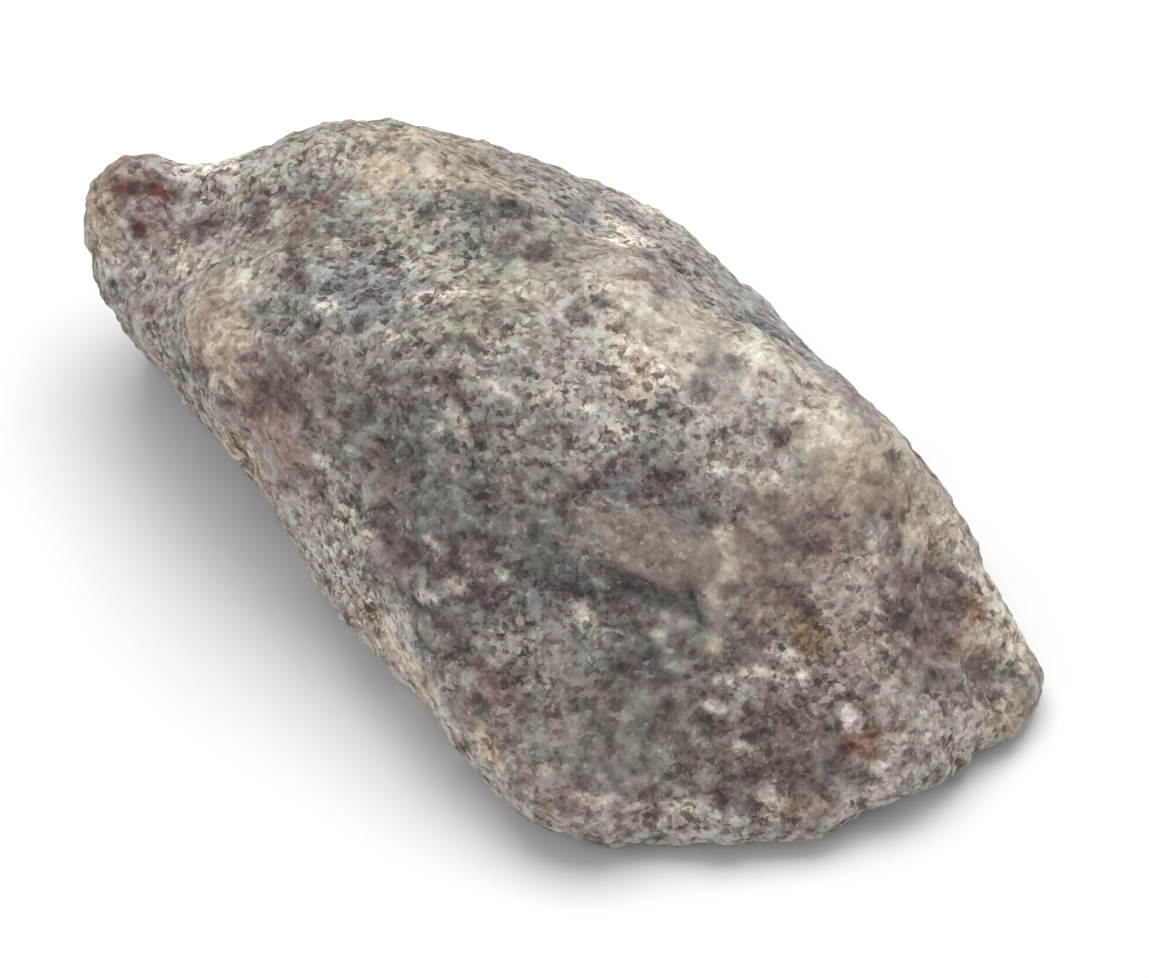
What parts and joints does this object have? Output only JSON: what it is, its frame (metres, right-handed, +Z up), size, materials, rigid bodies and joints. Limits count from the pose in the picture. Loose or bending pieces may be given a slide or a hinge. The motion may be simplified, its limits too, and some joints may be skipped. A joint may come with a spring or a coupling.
{
  "type": "rough rock",
  "caption": "Rough broken piece of grey, fine-grained stone with a long ridged body, a knob at one end and a flat underside.",
  "frame": {"origin": "on the surface the rock rests on, under the middle of its box", "axes": "+Z up, +X along the longer side of the footprint, -Y towards the viewer of the rock's front"},
  "size_m": [0.0574, 0.0478, 0.0237],
  "materials": {
    "stone": "rough, granular, matt"
  },
  "bodies": {
    "root": {"rock": "stone"}
  },
  "joints": []
}
